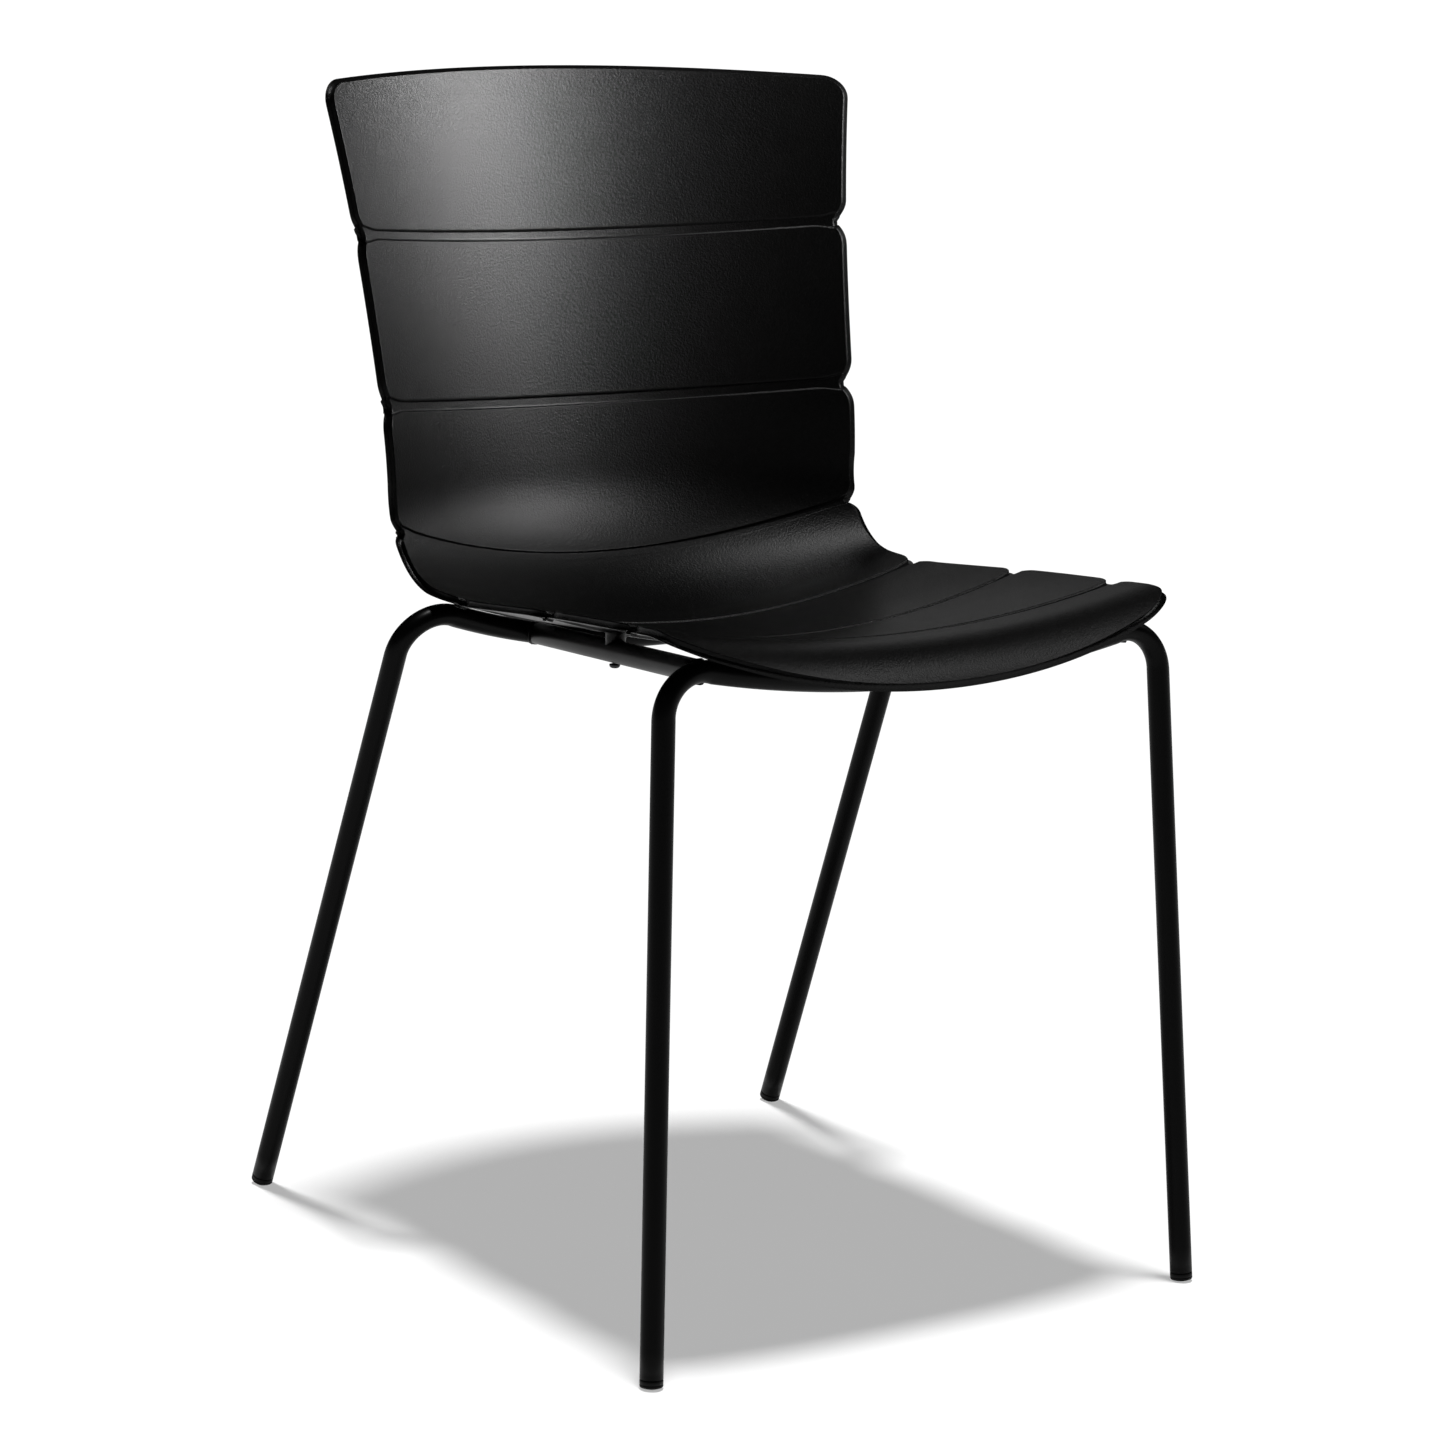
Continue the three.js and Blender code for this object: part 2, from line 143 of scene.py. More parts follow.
class Finish:
    """A procedural material. Fixed values go on the shader itself, varying ones are fed in."""

    def __init__(self, name, **fixed):
        self.material = bpy.data.materials.new(name)
        self.material.use_nodes = True
        self.tree = self.material.node_tree
        self.shader = self.tree.nodes["Principled BSDF"]
        for socket, value in fixed.items():
            self.shader.inputs[socket.replace("_", " ")].default_value = value
        self.place = self.node("ShaderNodeTexCoord", output="Object")

    def node(self, kind, settings=None, inputs=None, output=0):
        made = self.tree.nodes.new(kind)
        for key, value in (settings or {}).items():
            setattr(made, key, value)
        for key, value in (inputs or {}).items():
            if isinstance(value, Flow):
                self.tree.links.new(value.socket, made.inputs[key])
            else:
                made.inputs[key].default_value = value
        return Flow(self.tree, made.outputs[output])

    def grain(self, scale, detail=2.0, roughness=0.5):
        inputs = {"Vector": self.place, "Scale": scale, "Detail": detail, "Roughness": roughness}
        return self.node("ShaderNodeTexNoise", inputs=inputs)

    def between(self, amount, low, high):
        """Spreads a value that runs over its middle range between two others."""
        inputs = {"Value": amount, "From Min": 0.3, "From Max": 0.7, "To Min": low, "To Max": high}
        return self.node("ShaderNodeMapRange", inputs=inputs)

    def colours(self, amount, first, second):
        inputs = {0: amount, 6: (*first, 1.0), 7: (*second, 1.0)}
        return self.node("ShaderNodeMix", {"data_type": "RGBA"}, inputs, output=2)

    def edges(self):
        """One on sharp outer edges and nothing elsewhere."""
        point = self.node("ShaderNodeNewGeometry", output="Pointiness")
        inputs = {"Value": point, "From Min": 0.5, "From Max": 0.56}
        return self.node("ShaderNodeMapRange", {"clamp": True}, inputs)

    def feed(self, socket, flow):
        self.tree.links.new(flow.socket, self.shader.inputs[socket])

    def relief(self, height, distance, strength):
        inputs = {"Height": height, "Distance": distance, "Strength": strength}
        self.feed("Normal", self.node("ShaderNodeBump", inputs=inputs))


def show(name, vertices, faces, finish):
    """Makes one piece of the chair, riding on its single body."""
    mesh = bpy.data.meshes.new(name)
    mesh.from_pydata([tuple(v) for v in vertices], [], faces)
    made = bmesh.new()
    made.from_mesh(mesh)
    bmesh.ops.recalc_face_normals(made, faces=made.faces)
    for face in made.faces:
        face.smooth = True
    made.to_mesh(mesh)
    made.free()
    piece = bpy.data.objects.new(name, mesh)
    bpy.context.scene.collection.objects.link(piece)
    mesh.materials.append(finish.material)
    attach(piece, "root")
    return piece


def loops_to_faces(loops, count, closed=False):
    """Quads between rings of vertices that follow one another in a list."""
    faces = []
    last = loops if closed else loops - 1
    for i in range(last):
        this, after = i * count, ((i + 1) % loops) * count
        for j in range(count):
            k = (j + 1) % count
            faces.append((this + j, this + k, after + k, after + j))
    return faces


def frame_line(sizes):
    """The centre line of a leg frame from foot to foot, with how much each place is bent."""
    slant = math.hypot(1, sizes["lean_back"])
    corner_x = sizes["foot_half_span"] - sizes["lean_in"] * sizes["bar_height"]
    corner_rise = sizes["bar_height"] * slant
    leg_angle = math.atan2(slant, sizes["lean_in"])
    bar_angle = math.atan(2 * sizes["bar_sag"] / corner_x)
    turn = math.pi - leg_angle + bar_angle
    setback = bend_radius * math.tan(turn / 2)
    start = Vector((corner_x + setback * math.cos(leg_angle), corner_rise - setback * math.sin(leg_angle)))
    centre = start - bend_radius * Vector((math.sin(leg_angle), math.cos(leg_angle)))
    foot_height = glide_dome_radius - glide_sole_depth
    foot = Vector((sizes["foot_half_span"] - sizes["lean_in"] * foot_height, foot_height * slant))
    shoulder = math.sqrt(glide_dome_radius**2 - tube_radius**2)
    foot += (start - foot).normalized() * (glide_collar - shoulder + fit_gap)
    half = []
    for i in range(leg_steps):
        half.append((foot.lerp(start, i / leg_steps), 0.0))
    for i in range(bend_steps + 1):
        angle = math.pi / 2 - leg_angle + turn * i / bend_steps
        place = centre + bend_radius * Vector((math.cos(angle), math.sin(angle)))
        half.append((place, math.sin(math.pi * i / bend_steps) ** bend_onset))
    end = half[-1][0]
    sag = math.tan(bar_angle) * end.x / 2
    for i in range(1, bar_steps + 1):
        x = end.x * (1 - i / bar_steps)
        half.append((Vector((x, end.y - sag * (1 - (x / end.x) ** 2))), 0.0))
    whole = [(Vector((-p.x, p.y)), bent) for p, bent in half[:-1]] + half[::-1]
    line = []
    for p, bent in whole:
        rise = p.y / slant
        line.append((Vector((p.x, sizes["foot_y"] + sizes["lean_back"] * rise, rise)), bent))
    across = Vector((0, -1, sizes["lean_back"])).normalized()  # square to the plane of the U
    return line, across


def tube_rings(line, across, radius):
    rings = []
    for i, (place, bent) in enumerate(line):
        before = line[max(i - 1, 0)][0]
        after = line[min(i + 1, len(line) - 1)][0]
        along = (after - before).normalized()
        inward = along.cross(across).normalized()
        flat = 1 - bend_flattening * bent
        wide = 1 + bend_flattening * bend_widening * bent
        for j in range(tube_sides):
            angle = 2 * math.pi * j / tube_sides
            offset = inward * (math.cos(angle) * flat) + across * (math.sin(angle) * wide)
            rings.append(place + offset * radius)
    return rings


powder_coat = Finish("powder_coat", Metallic=0.0, Specular_IOR_Level=0.06)
peel = powder_coat.grain(520, detail=2.0)
cloud = powder_coat.grain(9, detail=3.0)
speck = powder_coat.grain(2600, detail=1.0)
coat_edges = powder_coat.edges()
tone = powder_coat.between(cloud * 0.7 + speck * 0.3, 0.0, 1.0)
coat_colour = powder_coat.colours(tone, (0.0004, 0.0004, 0.0004), (0.0009, 0.0009, 0.0009))
powder_coat.feed("Base Color", coat_colour)
powder_coat.feed("Roughness", powder_coat.between(cloud, 0.33, 0.44) - coat_edges * 0.05)
powder_coat.relief(peel * 0.75 + speck * 0.25, 0.00006, 0.8)

frame_lines = {}
for name, sizes in leg_frames.items():
    line, across = frame_line(sizes)
    frame_lines[name] = line
    outside = tube_rings(line, across, tube_radius)
    inside = tube_rings(line, across, tube_radius - tube_wall)
    inside_rings = [inside[k : k + tube_sides] for k in range(0, len(inside), tube_sides)]
    inside_back = [v for ring in reversed(inside_rings) for v in ring]
    tube_faces = loops_to_faces(2 * len(line), tube_sides, closed=True)
    piece = show(name + "_tube", outside + inside_back, tube_faces, powder_coat)
    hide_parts(name)

# Side rails -----------------------------------------------------------------
# Two straight lengths of the same tube under the seat, closer together at the rear. Their ends
# are coped to the crossbars and welded all round; the powder coat runs over the small beads.

rail_half_spans = {"front_leg_frame": 0.181, "rear_leg_frame": 0.111}
bar_lowest = 0.4  # all of both crossbars is higher
bar_half_reach = 0.2
weld_radius = 0.0012
weld_overlap = 0.0006  # how far the coped end runs into the crossbar's skin
weld_ripple = 0.00018
ripples_round = 22
weld_fullness = 0.8  # share of its width that a bead stands out
bead_sides = 12
rail_shares = (0.0, 0.02, 0.25, 0.5, 0.75, 0.98, 1.0)  # where the rings lie along a rail


def crossbar_at(line, x):
    """The crossbar's place and direction at a sideways position."""
    bar = [p for p, _ in line if p.z > bar_lowest and abs(p.x) < bar_half_reach]
    for before, after in zip(bar, bar[1:]):
        if before.x <= x <= after.x:
            share = (x - before.x) / (after.x - before.x)
            return before.lerp(after, share), (after - before).normalized()
    raise ValueError("no crossbar at %.3f" % x)


def reach_to_bar(start, along, bar_place, bar_along, radius):
    """How far along a line from a point the crossbar's surface is."""
    gap = start - bar_place
    gap -= bar_along * gap.dot(bar_along)
    step = along - bar_along * along.dot(bar_along)
    a, b, c = step.dot(step), gap.dot(step), gap.dot(gap) - radius**2
    return (-b - math.sqrt(max(b * b - a * c, 0.0))) / a


rail_lines = {}
for side_name, side in (("left", -1), ("right", 1)):
    ends = [crossbar_at(frame_lines[k], side * rail_half_spans[k]) for k in leg_frames]
    rail_lines[side] = (ends[0][0], ends[1][0])
    middle = ends[0][0].lerp(ends[1][0], 0.5)
    along = (ends[1][0] - ends[0][0]).normalized()
    upward = along.cross(Vector((1, 0, 0))).normalized() * -1
    sideways = along.cross(upward).normalized()
    rings = []
    seams = []
    for way, (bar_place, bar_along) in zip((-1, 1), ends):
        seam = []
        for j in range(tube_sides):
            angle = 2 * math.pi * j / tube_sides
            round_tube = sideways * math.cos(angle) + upward * math.sin(angle)
            start = middle + round_tube * tube_radius
            reach = reach_to_bar(start, along * way, bar_place, bar_along, tube_radius)
            seam.append((start + along * way * reach, round_tube))
        seams.append((seam, way, bar_place, bar_along))
    for radius, order in ((tube_radius, (0, 1)), (tube_radius - tube_wall, (1, 0))):
        for share in rail_shares:
            first, second = seams[order[0]], seams[order[1]]
            for (p, turn), (q, _) in zip(first[0], second[0]):
                a = p + along * first[1] * weld_overlap
                b = q + along * second[1] * weld_overlap
                rings.append(a.lerp(b, share) - turn * (tube_radius - radius))
    faces = loops_to_faces(len(rings) // tube_sides, tube_sides, closed=True)
    rail = show(side_name + "_rail_tube", rings, faces, powder_coat)
    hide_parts(side_name + "_side_rail")
    for (seam, way, bar_place, bar_along), end_name in zip(seams, ("front", "rear")):
        beads = []
        for j, (p, turn) in enumerate(seam):
            off_bar = p - bar_place
            off_bar = (off_bar - bar_along * off_bar.dot(bar_along)).normalized()
            tangent = (seam[(j + 1) % tube_sides][0] - seam[j - 1][0]).normalized()
            outward = (turn + off_bar * 0.8).normalized()
            outward = (outward - tangent * outward.dot(tangent)).normalized()
            other = tangent.cross(outward)
            wave = math.sin(2 * math.pi * ripples_round * j / tube_sides)
            size = weld_radius + weld_ripple * wave
            for k in range(bead_sides):
                angle = 2 * math.pi * k / bead_sides
                swell = outward * math.cos(angle) * weld_fullness + other * math.sin(angle)
                beads.append(p + swell * size)
        bead_faces = loops_to_faces(tube_sides, bead_sides, closed=True)
        bead = show("%s_%s_weld" % (end_name, side_name), beads, bead_faces, powder_coat)

# Glides ---------------------------------------------------------------------
# Black nylon plugs pushed into the tube ends, as wide as the tube, with a shallow domed sole,
# a slightly rounded collar and a fine moulding line where the dome starts.

glide_stem = 0.016
glide_turns = 48

nylon = Finish("glide_nylon", Metallic=0.0, Specular_IOR_Level=0.1)
pores = nylon.grain(1500, detail=2.0)
smear = nylon.grain(60, detail=3.0)
low_down = nylon.node("ShaderNodeSeparateXYZ", inputs={0: nylon.place}, output=2)
scuff = nylon.node(
    "ShaderNodeMapRange",
    {"clamp": True},
    {"Value": low_down + smear * 0.002, "From Min": 0.0045, "From Max": 0.0008},
)
nylon.feed("Base Color", nylon.colours(scuff * 0.7, (0.0008, 0.0008, 0.0008), (0.008, 0.008, 0.0076)))
nylon.feed("Roughness", nylon.between(smear, 0.42, 0.58) + scuff * 0.15)
nylon.relief(pores * 0.6 + smear * scuff, 0.00012, 0.6)

dome_angle = math.asin(tube_radius / glide_dome_radius)
collar_top = glide_collar - math.sqrt(glide_dome_radius**2 - tube_radius**2)
stem_radius = tube_radius - tube_wall - fit_gap
glide_profile = []
for i in range(15):
    angle = dome_angle * (i + 0.15) / 15
    glide_profile.append((glide_dome_radius * math.sin(angle), -glide_dome_radius * math.cos(angle)))
dome_edge = -glide_dome_radius * math.cos(dome_angle)
glide_profile += [
    (tube_radius - 0.0003, dome_edge + 0.00005),
    (tube_radius - 0.00005, dome_edge + 0.0004),
    (tube_radius, dome_edge + 0.0009),
    (tube_radius, dome_edge + 0.0014),
    (tube_radius - 0.00022, dome_edge + 0.0016),
    (tube_radius - 0.00022, dome_edge + 0.0019),
    (tube_radius, dome_edge + 0.0021),
    (tube_radius, collar_top - 0.0006),
    (tube_radius - 0.0003, collar_top),
    (stem_radius, collar_top),
    (stem_radius, collar_top + glide_stem - 0.001),
    (stem_radius - 0.001, collar_top + glide_stem),
]


def turn_profile(profile, turns, place, direction):
    """A closed solid turned from radius and height pairs, aimed along a direction."""
    spin = Vector((0, 0, 1)).rotation_difference(direction)
    vertices = []
    for radius, height in profile:
        for j in range(turns):
            angle = 2 * math.pi * j / turns
            point = Vector((radius * math.cos(angle), radius * math.sin(angle), height))
            vertices.append(place + spin @ point)
    faces = loops_to_faces(len(profile), turns)
    faces.append(tuple(range(turns)))
    faces.append(tuple(range(len(vertices) - turns, len(vertices))))
    return vertices, faces


for frame_name, sizes in leg_frames.items():
    end_name = frame_name.split("_")[0]
    height = glide_dome_radius - glide_sole_depth
    for side_name, side in (("left", -1), ("right", 1)):
        up = Vector((-side * sizes["lean_in"], sizes["lean_back"], 1)).normalized()
        place = Vector(
            (
                side * (sizes["foot_half_span"] - sizes["lean_in"] * height),
                sizes["foot_y"] + sizes["lean_back"] * height,
                height,
            )
        )
        vertices, faces = turn_profile(glide_profile, glide_turns, place, up)
        for vertex in vertices:
            vertex.z = max(vertex.z, 0.0)
        name = "%s_%s" % (end_name, side_name)
        plug = show(name + "_plug", vertices, faces, nylon)
        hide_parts(name + "_glide")

# Shell ----------------------------------------------------------------------
# Back and seat in one polypropylene moulding, dished from side to side, with six recessed
# cross grooves that run out into notches in the side edges. The edge is thicker than the
# skin and rounded on both faces. The faces have a fine even grain from the mould.

shell_top = (0.2615, 0.829)
back_lean = math.radians(11.6)
seat_tilt = math.radians(6)
back_length = 0.302
shell_bend = 0.108
seat_length = 0.284
lip_radius = 0.055
lip_turn = math.radians(60)
bend_length = shell_bend * (math.pi / 2 - back_lean + seat_tilt)
lip_start = back_length + bend_length + seat_length
shell_length = lip_start + lip_radius * lip_turn
grooves = (0.125, 0.248, 0.368, 0.494, 0.611, 0.717)
groove_half = 0.0030
groove_ramp = 0.0010
groove_depth = 0.0016
groove_flare = 0.0026  # how much wider each way a groove gets where it meets the edge
flare_reach = 0.016
notch_depth = 0.0058
notch_length = 0.015
waist_station = 0.400
waist_half_width = 0.202
top_flare = 0.026
front_flare = 0.012
top_dish = 0.058
back_dish = 0.065
seat_dish = 0.026
front_dish = 0.022
seat_hollow = 0.008
hollow_start = 0.410
hollow_end = 0.735
top_corner = 0.016
front_corner = 0.034
top_arch = 0.018
front_bow = 0.038
skin = 0.0036
rim = 0.0055
rim_width = 0.004
edge_round = 0.0016
lower_round = 0.0012


def clamp01(value):
    return min(max(value, 0.0), 1.0)


def ease(value):
    value = clamp01(value)
    return value * value * (3 - 2 * value)


def middle_line(station):
    """The upper face along the middle: place in y and z, and the way it faces."""
    heading = back_lean - math.pi / 2
    y, z = shell_top
    left = station
    runs = (
        (back_length, 0.0),
        (bend_length, 1 / shell_bend),
        (seat_length, 0.0),
        (math.inf, -1 / lip_radius),
    )
    for length, curvature in runs:
        step = min(left, length)
        after = heading + curvature * step
        if curvature:
            y -= (math.sin(after) - math.sin(heading)) / curvature
            z += (math.cos(heading) - math.cos(after)) / curvature
        else:
            y -= step * math.cos(heading)
            z += step * math.sin(heading)
        heading = after
        left -= step
        if left <= 0:
            break
    return y, z, heading


def base_half_width(station):
    above = max(0.0, 1 - station / waist_station)
    below = max(0.0, (station - waist_station) / (shell_length - waist_station))
    return waist_half_width + top_flare * above**2.25 + front_flare * below**1.4


def dish_at(station):
    deepest = grooves[1] + notch_length
    flattest = grooves[3] + 2 * notch_length
    back = top_dish + (back_dish - top_dish) * min(station / deepest, 1)
    seat = back + (seat_dish - back) * ease((station - deepest) / (flattest - deepest))
    front = ease((station - grooves[4]) / (shell_length - grooves[4]))
    return seat + (front_dish - seat_dish) * front


def hollow_at(station):
    """How far the middle of the seat lies below its straight line."""
    part = clamp01((station - hollow_start) / (hollow_end - hollow_start))
    return seat_hollow * math.sin(math.pi * part) ** 2


def corner_inset(distance, depth):
    part = clamp01(1 - distance / depth)
    return depth * (1 - math.sqrt(1 - part**2))


def outline_inset(station):
    inset = corner_inset(station, top_corner) + corner_inset(shell_length - station, front_corner)
    for groove in grooves:
        inset += notch_depth * clamp01(1 - (abs(station - groove) - groove_half) / notch_length) ** 2
    return inset


def nearest_groove(station):
    return min(grooves, key=lambda groove: abs(station - groove))


def flare_shift(row, edge_gap):
    """Moves the rows beside a groove apart where the groove runs out into its notch."""
    off = row - nearest_groove(row)
    near = ease(1 - edge_gap / flare_reach)
    fade = ease(1 - (abs(off) - groove_half) / notch_length) if abs(off) > groove_half else 1.0
    return groove_flare * near * fade * max(-1.0, min(1.0, off / groove_half))


def recess_at(row):
    off = abs(row - nearest_groove(row))
    return groove_depth * ease((groove_half + groove_ramp - off) / groove_ramp)


def shell_surface(row, x, edge_gap):
    """The upper face at a row and a sideways position: a point and its outward direction."""
    full = base_half_width(row)
    across = (x / full) ** 2
    top_share = max(0.0, 1 - row / grooves[0])
    front_share = max(0.0, (row - grooves[-1]) / (shell_length - grooves[-1]))
    station = row + across * (top_arch * top_share - front_bow * front_share**2)
    station += flare_shift(row, edge_gap)
    y, z, heading = middle_line(station)
    up_y, up_z = math.sin(heading), math.cos(heading)
    hollow = hollow_at(station)
    dish = dish_at(station) + hollow
    slope = 2 * dish * x / full**2
    facing = Vector((-slope, up_y, up_z)).normalized()
    lift = dish * across - hollow
    point = Vector((x, y + up_y * lift, z + up_z * lift))
    return point - facing * recess_at(row), facing


def shell_rows():
    """Rows from the top edge to the front one: close together at grooves and corners."""
    offsets = (0.0, 0.0012, 0.0022, 0.0027, 0.0030, 0.0032, 0.0035, 0.0038, 0.0040, 0.0043, 0.0050)
    offsets += (0.0063, 0.0080, 0.0100, 0.0125, 0.0150, 0.0180)
    rows = set()
    for groove in grooves:
        rows.update(groove + way * off for off in offsets for way in (-1, 1))
    for i in range(13):
        angle = math.pi / 2 * i / 12
        rows.add(top_corner * (1 - math.cos(angle)))
        rows.add(shell_length - front_corner * (1 - math.cos(angle)))
    limits = [top_corner, *grooves, shell_length - front_corner]
    for near, far in zip(limits, limits[1:]):
        start = near + (0.018 if near in grooves else 0.0)
        stop = far - (0.018 if far in grooves else 0.0)
        count = round((stop - start) / 0.006)
        rows.update(start + (stop - start) * k / count for k in range(1, count))
    merged = []
    for row in sorted(rows):
        if not merged or row - merged[-1] > 1e-6:
            merged.append(row)
    return merged


off_the_edge = 1.0  # an edge gap too large for the flare to reach
edge_gaps = (0.0, 0.0012, 0.0026, 0.0042, 0.0062, 0.0088, 0.012, 0.016)
middle_columns = 46


def shell_columns(half):
    inner = half - edge_gaps[-1]
    left = [-(half - gap) for gap in edge_gaps[:-1]]
    middle = [inner * (2 * k / middle_columns - 1) for k in range(middle_columns + 1)]
    return left + middle + [-x for x in reversed(left)]


def shell_grid(inset, drop):
    """One face of the shell, drawn in from the outline and set below the upper face."""
    grid = []
    for row in shell_rows():
        drawn = inset + row * (shell_length - 2 * inset) / shell_length
        edge_row = row + flare_shift(row, 0.0)
        half = base_half_width(row) - outline_inset(edge_row) - inset
        line = []
        for x in shell_columns(half):
            point, facing = shell_surface(drawn, x, half - abs(x))
            line.append((point - facing * drop, facing))
        grid.append(line)
    return grid


def grid_border(rows, columns):
    """Indices round a grid, from its first corner along the first row."""
    first = [(0, j) for j in range(columns)]
    right = [(i, columns - 1) for i in range(1, rows)]
    last = [(rows - 1, j) for j in range(columns - 2, -1, -1)]
    left = [(i, 0) for i in range(rows - 2, 0, -1)]
    return first + right + last + left


upper = shell_grid(edge_round, 0.0)
lower = shell_grid(rim_width + 0.0025, skin)
rows, columns = len(upper), len(upper[0])
border = grid_border(rows, columns)
shell_vertices = [point for line in upper for point, _ in line]
shell_faces = []
for i in range(rows - 1):
    for j in range(columns - 1):
        corner = i * columns + j
        shell_faces.append((corner, corner + columns, corner + columns + 1, corner + 1))
edge_steps = []
for k in range(1, 6):
    angle = math.pi / 2 * k / 5
    edge_steps.append((edge_round * math.sin(angle), edge_round * (1 - math.cos(angle))))
edge_steps.append((edge_round, rim * 0.5))
for k in range(0, 5):
    angle = math.pi / 2 * k / 4
    out = edge_round - lower_round * (1 - math.cos(angle))
    edge_steps.append((out, rim - lower_round * (1 - math.sin(angle))))
edge_steps.append((edge_round - rim_width, rim))
edge_steps.append((edge_round - rim_width - 0.0008, rim - 0.0004))
ring_starts = []
for out, down in edge_steps:
    ring_starts.append(len(shell_vertices))
    for k, (i, j) in enumerate(border):
        point, facing = upper[i][j]
        before = border[k - 1]
        after = border[(k + 1) % len(border)]
        along = upper[after[0]][after[1]][0] - upper[before[0]][before[1]][0]
        outward = facing.cross(along).normalized() * -1
        shell_vertices.append(point + outward * out - facing * down)
lower_start = len(shell_vertices)
shell_vertices += [point for line in lower for point, _ in line]
for i in range(rows - 1):
    for j in range(columns - 1):
        corner = lower_start + i * columns + j
        shell_faces.append((corner, corner + 1, corner + columns + 1, corner + columns))
chains = [[i * columns + j for i, j in border]]
chains += [[start + k for k in range(len(border))] for start in ring_starts]
chains.append([lower_start + i * columns + j for i, j in border])
for this, after in zip(chains, chains[1:]):
    for k in range(len(border)):
        n = (k + 1) % len(border)
        shell_faces.append((this[k], this[n], after[n], after[k]))

polypropylene = Finish("shell_polypropylene", Metallic=0.0, Specular_IOR_Level=0.10)
mould_grain = polypropylene.grain(620, detail=3.0, roughness=0.62)
fine_grain = polypropylene.grain(1600, detail=2.0)
flow_cloud = polypropylene.grain(7, detail=4.0)
handling = polypropylene.grain(38, detail=5.0, roughness=0.6)
shell_edges = polypropylene.edges()
shade = polypropylene.between(flow_cloud * 0.6 + mould_grain * 0.4, 0.0, 1.0)
shell_colour = polypropylene.colours(shade, (0.0004, 0.0004, 0.0004), (0.0009, 0.0009, 0.0009))
# The sharp outer edges are painted lighter here. This is a painted highlight along the rims, not wear.
edge_highlight_colour = polypropylene.node(
    "ShaderNodeMix",
    {"data_type": "RGBA"},
    {0: shell_edges * 0.5, 6: shell_colour, 7: (0.003, 0.003, 0.003, 1.0)},
    output=2,
)
polypropylene.feed("Base Color", edge_highlight_colour)
shell_rough = polypropylene.between(handling * 0.5 + flow_cloud * 0.5, 0.30, 0.33)
polypropylene.feed("Roughness", shell_rough + mould_grain * 0.04 - shell_edges * 0.08)
polypropylene.relief(mould_grain * 0.7 + fine_grain * 0.3, 0.0004, 1.0)

shell = show("moulded_shell", shell_vertices, shell_faces, polypropylene)
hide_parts("seat_shell")

# Saddle bosses --------------------------------------------------------------
# Four short round bosses moulded under the seat. Each ends in a saddle that sits on a side
# rail or on the rear crossbar, flares into the underside, and holds an insert in its bore.

boss_radius = 0.007
bore_radius = 0.0037
boss_fillet = 0.003
boss_turns = 40


def saddle_height(place, along, x, y):
    """The top of a tube, with its fit gap, over a place beside its centre line."""
    flat = Vector((along.x, along.y, 0.0)).normalized()
    off = Vector((x - place.x, y - place.y, 0.0))
    run = off.dot(flat)
    side = off - flat * run
    rise = run * along.z / math.hypot(along.x, along.y)
    return place.z + rise + math.sqrt((tube_radius + fit_gap) ** 2 - side.length_squared)


def underside_height(x, y):
    """The height of the shell's lower face over a place under the seat."""
    near, far = back_length + bend_length / 2, lip_start
    for _ in range(40):
        middle = (near + far) / 2
        if shell_surface(middle, x, off_the_edge)[0].y > y:
            near = middle
        else:
            far = middle
    point, facing = shell_surface(near, x, off_the_edge)
    return (point - facing * skin).z


for end_name in ("front", "rear"):
    for side_name, side in (("left", -1), ("right", 1)):
        low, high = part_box("%s_%s_insert" % (end_name, side_name))
        axis = Vector(((low.x + high.x) / 2, (low.y + high.y) / 2, 0.0))
        if end_name == "front":
            start, stop = rail_lines[side]
            tube_along = (stop - start).normalized()
            tube_place = start.lerp(stop, (axis.y - start.y) / (stop.y - start.y))
        else:
            tube_place, tube_along = crossbar_at(frame_lines["rear_leg_frame"], axis.x)
        rings = []

        def saddle(radius, angle):
            x = axis.x + radius * math.cos(angle)
            y = axis.y + radius * math.sin(angle)
            return saddle_height(tube_place, tube_along, x, y)

        outline = [(bore_radius, "top"), (bore_radius, "saddle"), (boss_radius - 0.0004, "saddle")]
        outline += [(boss_radius, "lifted"), (boss_radius, "under")]
        for turn in (0.4, 0.8, 1.2, math.pi / 2):
            outline.append((boss_radius + boss_fillet * (1 - math.cos(turn)), turn))
        outline += [(boss_radius + boss_fillet, "sunk")]
        for radius, level in outline:
            for j in range(boss_turns):
                angle = 2 * math.pi * j / boss_turns
                x = axis.x + radius * math.cos(angle)
                y = axis.y + radius * math.sin(angle)
                under = underside_height(x, y)
                if level == "top":
                    z = high.z + fit_gap
                elif level == "saddle":
                    z = saddle(radius, angle)
                elif level == "lifted":
                    z = saddle(boss_radius, angle) + 0.0004
                elif level == "under":
                    z = max(under - boss_fillet, saddle(boss_radius, angle) + 0.0006)
                elif level == "sunk":
                    z = under + skin * 0.4
                else:
                    z = under - boss_fillet * (1 - math.sin(level))
                rings.append(Vector((x, y, z)))
        faces = loops_to_faces(len(outline), boss_turns)
        faces.append(tuple(range(boss_turns)))
        faces.append(tuple(range(len(rings) - boss_turns, len(rings))))
        boss = show("%s_%s_boss" % (end_name, side_name), rings, faces, polypropylene)

# Seat screws ----------------------------------------------------------------
# Four black zinc plated button head screws with hexagon sockets. They go up into the inserts,
# the front two through the side rails and the rear two through the rear crossbar.

screw_turns = 48
shank_radius = 0.0019
head_radius = 0.0038
head_height = 0.0026
socket_half = 0.00125  # half the width across the flats
socket_depth = 0.0013
thread_pitch = 0.0007

